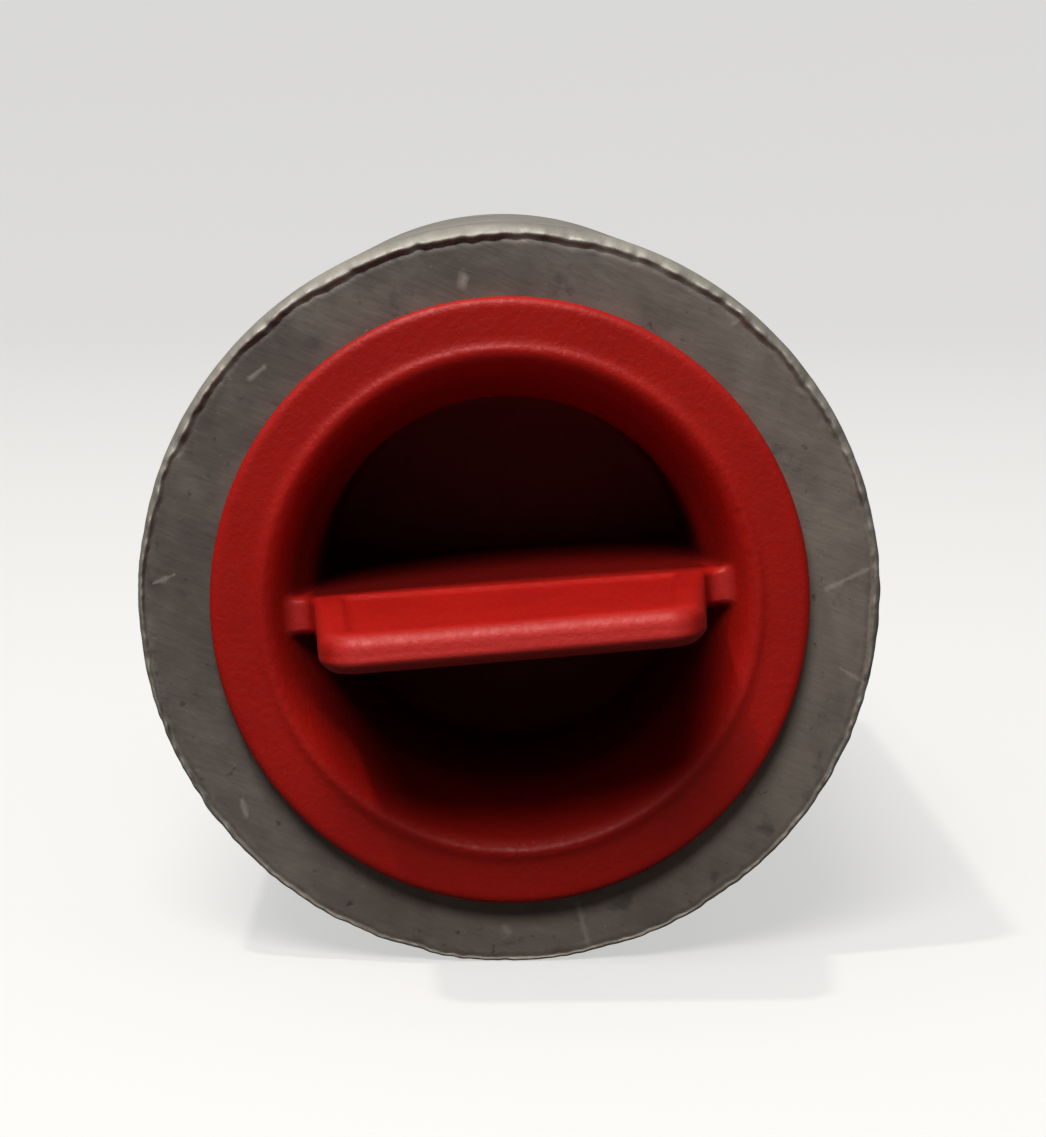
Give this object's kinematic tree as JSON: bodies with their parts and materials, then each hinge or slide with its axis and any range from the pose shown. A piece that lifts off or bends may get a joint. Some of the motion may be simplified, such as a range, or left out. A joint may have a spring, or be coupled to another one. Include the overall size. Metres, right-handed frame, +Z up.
{
  "type": "rebar coupler sleeve with protective plugs",
  "caption": "Thick-walled threaded steel sleeve for joining reinforcing bars end to end, its bore closed at both ends by flanged red plastic plugs with a centre pull tab.",
  "frame": {"origin": "middle of the sleeve, on its axis", "axes": "+Y along the sleeve's axis towards its rear end, so the front plug faces -Y; +Z up with the sleeve lying on its side; +X completes a right-handed frame"},
  "size_m": [0.048, 0.0992, 0.048],
  "materials": {
    "sleeve_steel": "dull carbon steel, sawn at the ends, bare and lightly weathered on the side",
    "plug_plastic": "red moulded polyethylene, semi-gloss"
  },
  "bodies": {
    "sleeve": {"coupler_sleeve": "sleeve_steel"},
    "front_plug": {"front_plug": "plug_plastic"},
    "rear_plug": {"rear_plug": "plug_plastic"}
  },
  "joints": [
    {"name": "front_plug_pull", "type": "slide", "parent": "sleeve", "child": "front_plug", "axis": [0, -1, 0], "range_m": [0, 0.04]},
    {"name": "rear_plug_pull", "type": "slide", "parent": "sleeve", "child": "rear_plug", "axis": [0, 1, 0], "range_m": [0, 0.04]}
  ]
}
